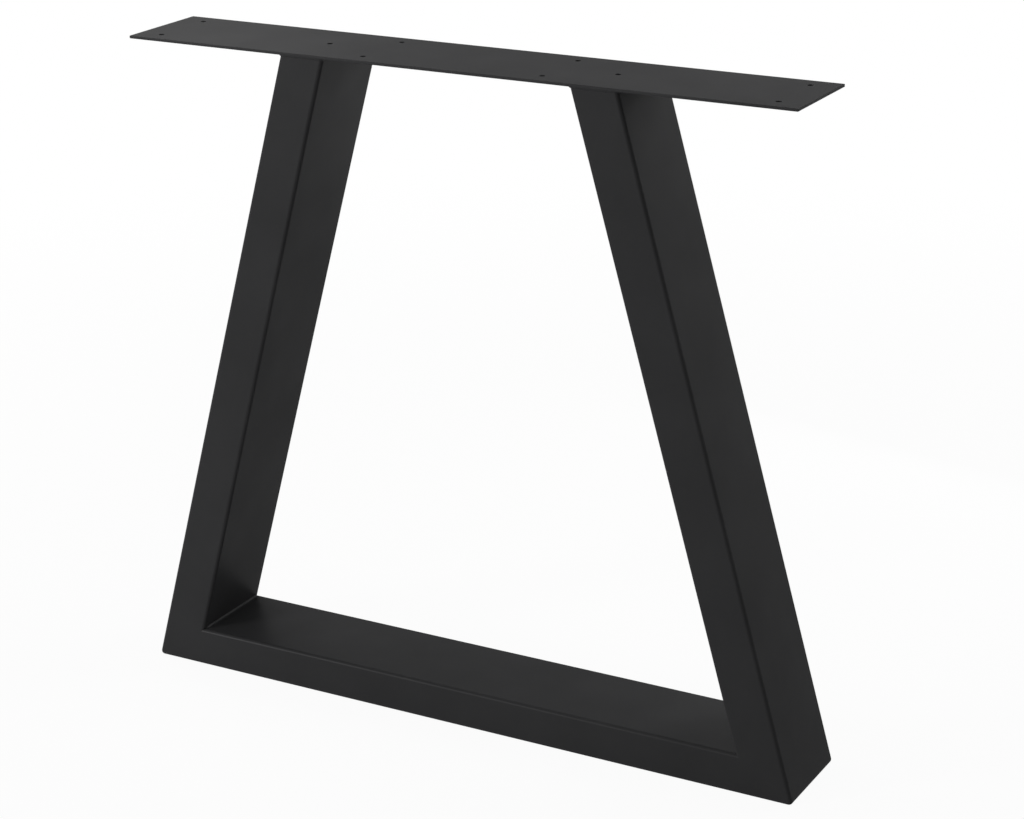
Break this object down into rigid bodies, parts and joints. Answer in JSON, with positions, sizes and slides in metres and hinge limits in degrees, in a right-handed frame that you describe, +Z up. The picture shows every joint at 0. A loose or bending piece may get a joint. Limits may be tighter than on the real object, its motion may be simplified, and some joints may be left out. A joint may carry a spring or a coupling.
{
  "type": "trestle table leg",
  "caption": "Welded steel trestle table leg: slanted rectangular tubes mitred to a floor tube, under a flat drilled plate that screws to the table top.",
  "frame": {"origin": "on the floor, at the middle of the frame's width and depth", "axes": "+X along the frame from the left to the right leg, +Y from the front to the back, +Z up"},
  "size_m": [0.7824, 0.115, 0.72],
  "materials": {
    "frame_coat": "black satin powder coat, fine orange peel",
    "plate_coat": "black satin powder coat on flat plate",
    "weld_coat": "black satin powder coat over weld beads"
  },
  "bodies": {
    "root": {"base_tube": "frame_coat", "left_leg_tube": "frame_coat", "right_leg_tube": "frame_coat", "mounting_plate": "plate_coat", "left_corner_weld": "weld_coat", "right_corner_weld": "weld_coat", "left_plate_weld": "weld_coat", "right_plate_weld": "weld_coat"}
  },
  "joints": []
}
